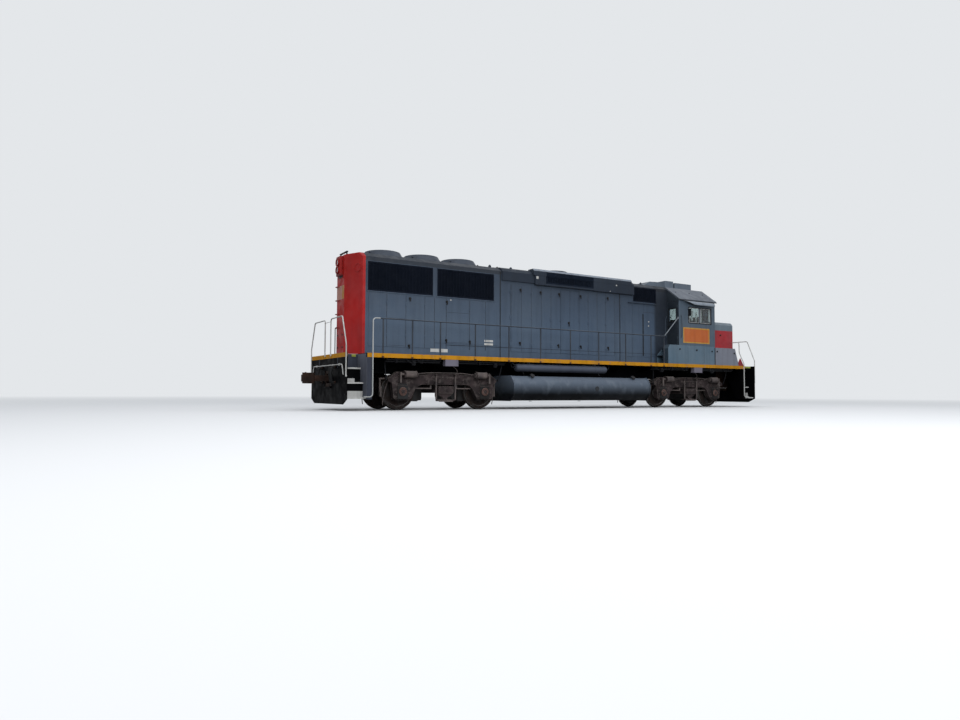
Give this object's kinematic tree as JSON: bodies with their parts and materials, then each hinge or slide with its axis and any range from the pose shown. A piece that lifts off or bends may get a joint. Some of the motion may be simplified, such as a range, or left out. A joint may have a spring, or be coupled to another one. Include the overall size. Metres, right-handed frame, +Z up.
{
  "type": "four-axle diesel road locomotive",
  "caption": "Diesel road locomotive with a narrow hood, end cab, full-width walkways, swivelling trucks, couplers, roof fans and doors that open.",
  "frame": {"origin": "midway between the truck centres, on the centreline, at the bottom of the wheel flanges; the rail head is at Z = 0.029 m", "axes": "+X forward, towards the cab end; +Y to the left; +Z up"},
  "size_m": [18.392, 3.4452, 4.8188],
  "materials": {
    "underframe_paint": "grimy dark grey paint with a worn yellow stripe",
    "cast_steel": "brown rusted casting",
    "black_paint": "grimy black paint",
    "tank_paint": "faded dark grey paint",
    "reservoir_paint": "faded grey paint",
    "hood_paint": "weathered blue-grey paint",
    "roof_paint": "sooty grey paint",
    "grille_dark": "near-black mesh",
    "engine_paint": "oily grey paint",
    "cab_paint": "weathered grey paint with an orange panel",
    "cab_roof_paint": "pale faded grey paint",
    "cab_glass": "clear safety glass",
    "box_paint": "faded teal-grey paint",
    "nose_paint": "faded red paint, grey at the top",
    "seat_fabric": "black woven fabric",
    "stand_paint": "satin grey-green paint",
    "sunshade_paint": "pale grey paint",
    "roof_box_paint": "faded grey paint",
    "rail_paint": "worn grey paint with white ends",
    "rail_white": "white paint",
    "lamp_paint": "dark grey paint",
    "hose_rubber": "black rubber hose",
    "truck_cast_steel": "brown-grey grime over cast steel",
    "motor_paint": "oily black paint",
    "brake_iron": "rusty iron",
    "wheel_steel": "rusty wheel with a bright tread",
    "fan_metal": "dull cast aluminium"
  },
  "bodies": {
    "carbody": {"underframe": "underframe_paint", "draft_gear": "cast_steel", "end_sheet_front": "black_paint", "end_sheet_rear": "black_paint", "fuel_tank": "tank_paint", "air_reservoirs": "reservoir_paint", "radiator_hood": "hood_paint", "engine_hood": "hood_paint", "cabinet_hood": "hood_paint", "hood_grilles": "grille_dark", "brake_band": "hood_paint", "brake_grilles": "grille_dark", "fan_cowls": "roof_paint", "exhaust_stack": "roof_paint", "air_horn": "black_paint", "engine": "engine_paint", "cab_side_walls": "cab_paint", "cab_end_walls": "cab_paint", "cab_roof": "cab_roof_paint", "cab_glass": "cab_glass", "cab_base": "hood_paint", "equipment_boxes": "box_paint", "nose": "nose_paint", "cab_seats": "seat_fabric", "control_stand": "stand_paint", "sunshades": "sunshade_paint", "roof_boxes": "roof_box_paint", "side_rails": "rail_paint", "end_rails": "rail_white", "lamps": "lamp_paint", "hoses": "hose_rubber", "uncoupling_levers": "rail_white"},
    "truck_front": {"truck_frame_front": "truck_cast_steel", "truck_suspension_front": "truck_cast_steel", "traction_motors_front": "motor_paint", "brake_gear_front": "brake_iron"},
    "truck_rear": {"truck_frame_rear": "truck_cast_steel", "truck_suspension_rear": "truck_cast_steel", "traction_motors_rear": "motor_paint", "brake_gear_rear": "brake_iron"},
    "wheelset_1": {"wheelset_1": "wheel_steel"},
    "wheelset_2": {"wheelset_2": "wheel_steel"},
    "wheelset_3": {"wheelset_3": "wheel_steel"},
    "wheelset_4": {"wheelset_4": "wheel_steel"},
    "coupler_front": {"coupler_front": "cast_steel"},
    "knuckle_front": {"knuckle_front": "cast_steel"},
    "coupler_rear": {"coupler_rear": "cast_steel"},
    "knuckle_rear": {"knuckle_rear": "cast_steel"},
    "radiator_fan_1": {"radiator_fan_1": "fan_metal"},
    "radiator_fan_2": {"radiator_fan_2": "fan_metal"},
    "radiator_fan_3": {"radiator_fan_3": "fan_metal"},
    "brake_fan": {"brake_fan": "fan_metal"},
    "cab_door_rear": {"cab_door_rear": "cab_paint", "cab_door_glass_rear": "cab_glass"},
    "cab_door_front": {"cab_door_front": "cab_paint", "cab_door_glass_front": "cab_glass"},
    "hood_door_right_rear": {"hood_door_right_rear": "hood_paint"},
    "hood_door_right_front": {"hood_door_right_front": "hood_paint"},
    "hood_door_left_rear": {"hood_door_left_rear": "hood_paint"},
    "hood_door_left_front": {"hood_door_left_front": "hood_paint"}
  },
  "joints": [
    {"name": "truck_swivel_front", "type": "hinge", "parent": "carbody", "child": "truck_front", "pos_m": [5.1815, 0, 1.019], "axis": [0, 0, 1], "range_deg": [-6.5, 6.5]},
    {"name": "truck_swivel_rear", "type": "hinge", "parent": "carbody", "child": "truck_rear", "pos_m": [-5.1815, 0, 1.019], "axis": [0, 0, 1], "range_deg": [-6.5, 6.5]},
    {"name": "wheelset_1_spin", "type": "hinge", "parent": "truck_front", "child": "wheelset_1", "pos_m": [6.553, 0, 0.537], "axis": [0, 1, 0], "continuous": true},
    {"name": "wheelset_2_spin", "type": "hinge", "parent": "truck_front", "child": "wheelset_2", "pos_m": [3.81, 0, 0.537], "axis": [0, 1, 0], "continuous": true},
    {"name": "wheelset_3_spin", "type": "hinge", "parent": "truck_rear", "child": "wheelset_3", "pos_m": [-3.81, 0, 0.537], "axis": [0, 1, 0], "continuous": true},
    {"name": "wheelset_4_spin", "type": "hinge", "parent": "truck_rear", "child": "wheelset_4", "pos_m": [-6.553, 0, 0.537], "axis": [0, 1, 0], "continuous": true},
    {"name": "coupler_swing_front", "type": "hinge", "parent": "carbody", "child": "coupler_front", "pos_m": [8.26, 0, 0.905], "axis": [0, 0, 1], "range_deg": [-8, 8]},
    {"name": "knuckle_turn_front", "type": "hinge", "parent": "coupler_front", "child": "knuckle_front", "pos_m": [8.985, -0.15, 0.905], "axis": [0, 0, -1], "range_deg": [0, 45]},
    {"name": "coupler_swing_rear", "type": "hinge", "parent": "carbody", "child": "coupler_rear", "pos_m": [-8.26, 0, 0.905], "axis": [0, 0, 1], "range_deg": [-8, 8]},
    {"name": "knuckle_turn_rear", "type": "hinge", "parent": "coupler_rear", "child": "knuckle_rear", "pos_m": [-8.985, 0.15, 0.905], "axis": [0, 0, -1], "range_deg": [0, 45]},
    {"name": "radiator_fan_1_spin", "type": "hinge", "parent": "carbody", "child": "radiator_fan_1", "pos_m": [-6.75, 0, 4.579], "axis": [0, 0, 1], "continuous": true},
    {"name": "radiator_fan_2_spin", "type": "hinge", "parent": "carbody", "child": "radiator_fan_2", "pos_m": [-5.46, 0, 4.579], "axis": [0, 0, 1], "continuous": true},
    {"name": "radiator_fan_3_spin", "type": "hinge", "parent": "carbody", "child": "radiator_fan_3", "pos_m": [-4.17, 0, 4.579], "axis": [0, 0, 1], "continuous": true},
    {"name": "brake_fan_spin", "type": "hinge", "parent": "carbody", "child": "brake_fan", "pos_m": [-0.38, 0, 4.559], "axis": [0, 0, 1], "continuous": true},
    {"name": "cab_door_rear_hinge", "type": "hinge", "parent": "carbody", "child": "cab_door_rear", "pos_m": [4.169, -1.49, 3.089], "axis": [0, 0, 1], "range_deg": [0, 90]},
    {"name": "cab_door_front_hinge", "type": "hinge", "parent": "carbody", "child": "cab_door_front", "pos_m": [6.111, 1.49, 3.089], "axis": [0, 0, 1], "range_deg": [0, 90]},
    {"name": "hood_door_right_rear_hinge", "type": "hinge", "parent": "carbody", "child": "hood_door_right_rear", "pos_m": [-0.77, -0.988, 2.889], "axis": [0, 0, -1], "range_deg": [0, 120]},
    {"name": "hood_door_right_front_hinge", "type": "hinge", "parent": "carbody", "child": "hood_door_right_front", "pos_m": [0.02, -0.988, 2.889], "axis": [0, 0, 1], "range_deg": [0, 120]},
    {"name": "hood_door_left_rear_hinge", "type": "hinge", "parent": "carbody", "child": "hood_door_left_rear", "pos_m": [-0.77, 0.988, 2.889], "axis": [0, 0, 1], "range_deg": [0, 120]},
    {"name": "hood_door_left_front_hinge", "type": "hinge", "parent": "carbody", "child": "hood_door_left_front", "pos_m": [0.02, 0.988, 2.889], "axis": [0, 0, -1], "range_deg": [0, 120]}
  ]
}
